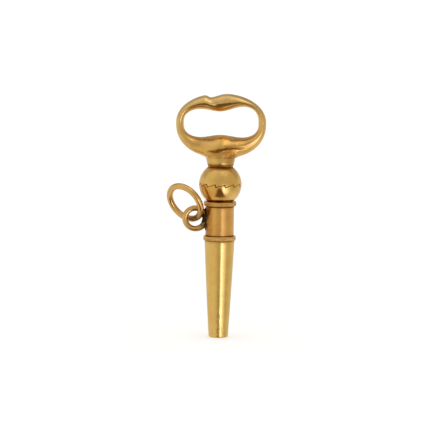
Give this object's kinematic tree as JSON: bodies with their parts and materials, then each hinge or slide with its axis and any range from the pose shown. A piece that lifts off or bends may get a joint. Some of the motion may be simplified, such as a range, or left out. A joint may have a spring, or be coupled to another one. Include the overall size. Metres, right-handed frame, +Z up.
{
  "type": "watch winding key",
  "caption": "Gold watch winding key with a hollow finger bow, a ratchet ball that slips backwards, a swivelling chain loop with its ring, and a tapered barrel with a square socket.",
  "frame": {"origin": "middle of the socket's mouth, on the end face of the barrel's tip", "axes": "+Z up the key from the tip to the bow, -Y towards the viewer of the picture's front, -X towards the chain loop"},
  "size_m": [0.018, 0.0078, 0.0449],
  "materials": {
    "bow_gold": "polished, worn",
    "ball_gold": "polished",
    "collar_gold": "milled",
    "sleeve_gold": "polished",
    "barrel_gold": "worn satin",
    "chain_gold": "polished, worn",
    "inner_brass": "turned",
    "steel": "turned"
  },
  "bodies": {
    "barrel": {"barrel_sheath": "barrel_gold", "socket_pipe": "steel", "lower_collar_plate": "collar_gold", "lower_milled_rim": "collar_gold", "stem": "steel", "swivel_bush": "inner_brass", "upper_collar_plate": "collar_gold", "upper_milled_rim": "collar_gold", "lower_ball_half": "ball_gold", "top_washer": "steel", "stem_nut": "steel"},
    "lifter": {"keyed_washer": "steel", "ratchet_spring": "steel"},
    "head": {"upper_ball_half": "ball_gold", "floor_plate": "inner_brass", "neck": "bow_gold", "neck_cap": "bow_gold", "bow_front_half": "bow_gold", "bow_back_half": "bow_gold"},
    "swivel": {"swivel_sleeve": "sleeve_gold", "chain_loop": "chain_gold"},
    "ring": {"chain_ring": "chain_gold"}
  },
  "joints": [
    {"name": "head_lift", "type": "slide", "parent": "barrel", "child": "lifter", "axis": [0, 0, 1], "range_m": [0, 0.0004965], "stiffness_N_per_m": 180, "springref_m": -0.0005, "deforming": ["ratchet_spring"]},
    {"name": "head_slip", "type": "hinge", "parent": "lifter", "child": "head", "pos_m": [0, 0, 0.02826], "axis": [0, 0, 1], "range_deg": [0, 23]},
    {"name": "sleeve_turn", "type": "hinge", "parent": "barrel", "child": "swivel", "pos_m": [0, 0, 0.0219], "axis": [0, 0, 1], "continuous": true},
    {"name": "ring_swing", "type": "hinge", "parent": "swivel", "child": "ring", "pos_m": [-0.00448, 0, 0.0219], "axis": [0, -1, 0], "range_deg": [-18, 130]}
  ],
  "couplings": [
    {"joint": "head_slip", "follows": "head_lift", "rad_per_m": 807.8}
  ]
}
